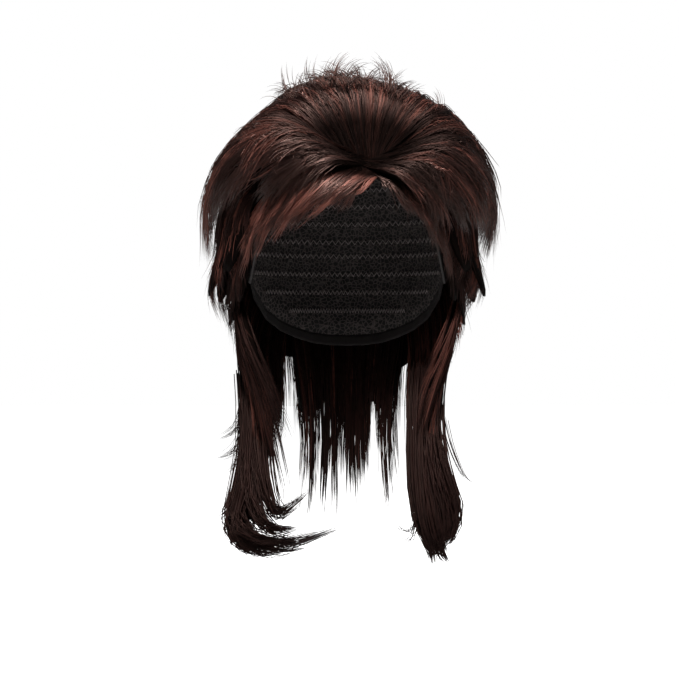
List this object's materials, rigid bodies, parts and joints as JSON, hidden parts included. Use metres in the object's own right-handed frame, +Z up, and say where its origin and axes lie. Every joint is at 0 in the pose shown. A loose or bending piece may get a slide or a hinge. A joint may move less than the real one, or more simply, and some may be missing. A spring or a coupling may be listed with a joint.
{
  "type": "mullet wig",
  "caption": "Layered short wig with a swept fringe, a raised crown and long locks at the nape, on a stretch cap.",
  "frame": {"origin": "inside top of the cap, where the crown of a head sits", "axes": "+Z up along the wearer's height, -Y the way the face looks, +X the wearer's left"},
  "size_m": [0.2198, 0.2221, 0.3728],
  "materials": {
    "hair": "fine glossy synthetic fibre, near-black brown with burgundy lights",
    "cap": "matt black-brown stretch net",
    "edge_band": "matt woven elastic"
  },
  "bodies": {
    "root": {"cap": "cap", "edge_band": "edge_band", "top_tuft": "hair", "side_top_left": "hair", "side_top_right": "hair", "back_top": "hair", "side_middle_left": "hair", "side_middle_right": "hair", "back_middle": "hair", "fringe": "hair", "temple": "hair", "side_low_left": "hair", "side_low_right": "hair", "back_low": "hair", "tail_left": "hair", "tail_right": "hair", "tail_back": "hair"}
  },
  "joints": []
}
